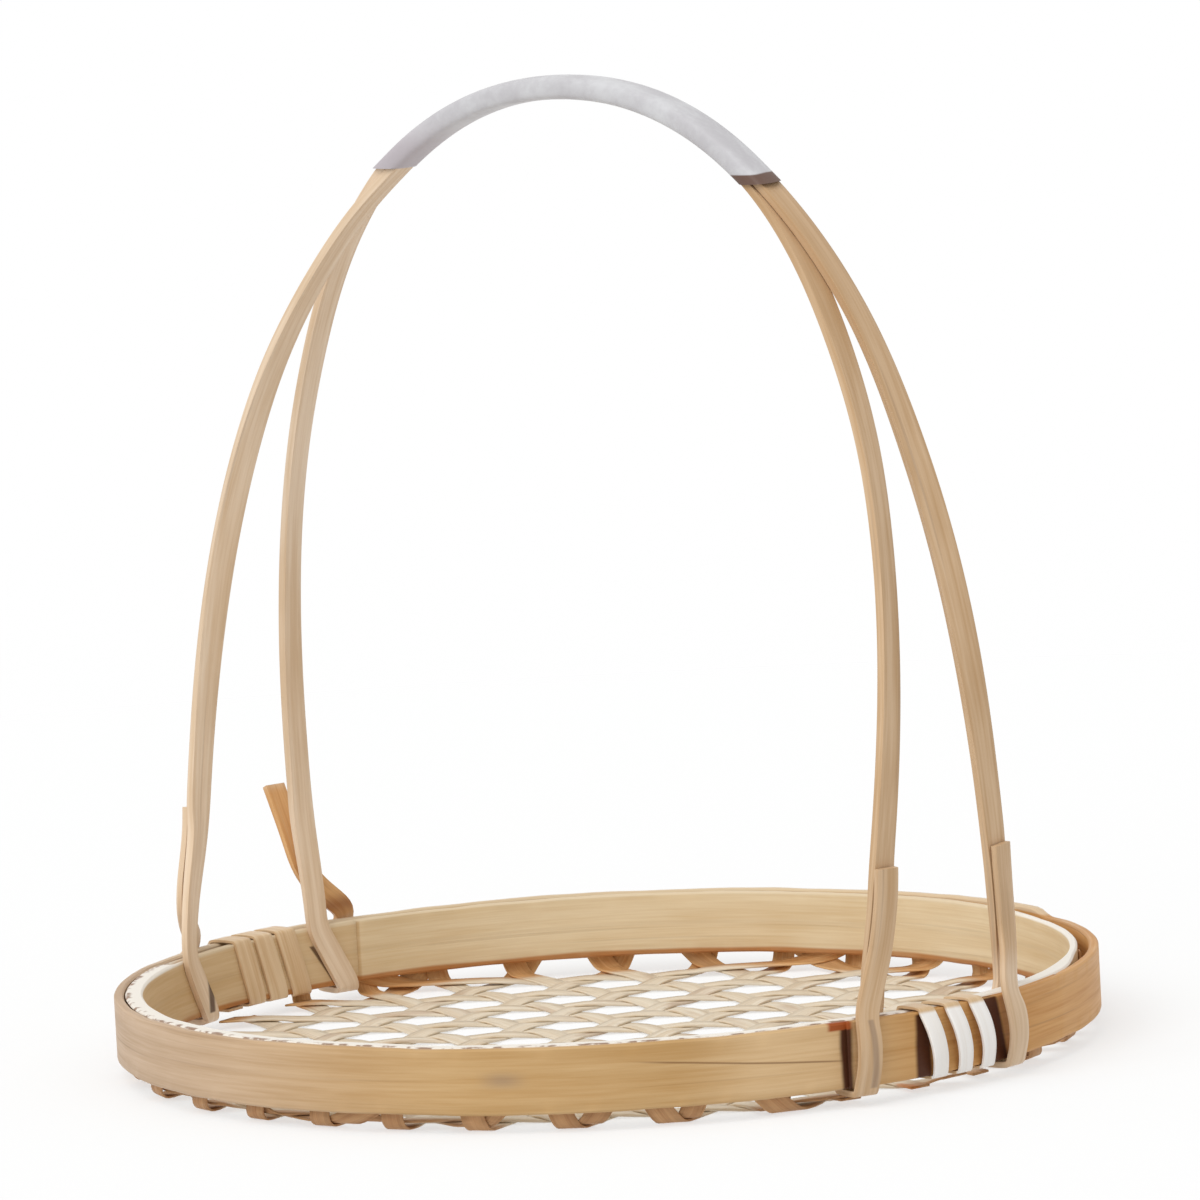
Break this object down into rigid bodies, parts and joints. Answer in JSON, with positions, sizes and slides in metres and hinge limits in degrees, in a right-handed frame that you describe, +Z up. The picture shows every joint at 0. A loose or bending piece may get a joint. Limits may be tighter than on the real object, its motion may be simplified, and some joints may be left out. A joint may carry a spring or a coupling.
{
  "type": "handled bamboo tray",
  "caption": "Round shallow bamboo tray with an open hexagonal woven base between two bent hoops, and a tall arched handle of paired strips with a wrapped grip.",
  "frame": {"origin": "underside of the woven base, at the middle of the tray", "axes": "+Z up, +X along the handle from one pair of feet to the other, +Y across the handle"},
  "size_m": [0.2717, 0.2598, 0.2569],
  "materials": {
    "outer_hoop": "split bamboo, satin",
    "inner_hoop": "split bamboo, matt",
    "weave_strip": "split bamboo, matt",
    "handle_strip": "split bamboo, satin",
    "grip_wrap": "smooth pale tape",
    "rim_binding": "pale bamboo skin"
  },
  "bodies": {
    "root": {"outer_hoop": "outer_hoop", "inner_hoop": "inner_hoop", "weave_a_01": "weave_strip", "weave_a_02": "weave_strip", "weave_a_03": "weave_strip", "weave_a_04": "weave_strip", "weave_a_05": "weave_strip", "weave_a_06": "weave_strip", "weave_a_07": "weave_strip", "weave_a_08": "weave_strip", "weave_a_09": "weave_strip", "weave_a_10": "weave_strip", "weave_b_01": "weave_strip", "weave_b_02": "weave_strip", "weave_b_03": "weave_strip", "weave_b_04": "weave_strip", "weave_b_05": "weave_strip", "weave_b_06": "weave_strip", "weave_b_07": "weave_strip", "weave_b_08": "weave_strip", "weave_b_09": "weave_strip", "weave_b_10": "weave_strip", "weave_b_11": "weave_strip", "weave_c_01": "weave_strip", "weave_c_02": "weave_strip", "weave_c_03": "weave_strip", "weave_c_04": "weave_strip", "weave_c_05": "weave_strip", "weave_c_06": "weave_strip", "weave_c_07": "weave_strip", "weave_c_08": "weave_strip", "weave_c_09": "weave_strip", "weave_c_10": "weave_strip", "weave_c_11": "weave_strip", "handle_strip_near": "handle_strip", "handle_strip_far": "handle_strip", "grip_wrap": "grip_wrap", "rim_binding_right": "rim_binding", "rim_binding_left": "rim_binding"}
  },
  "joints": []
}
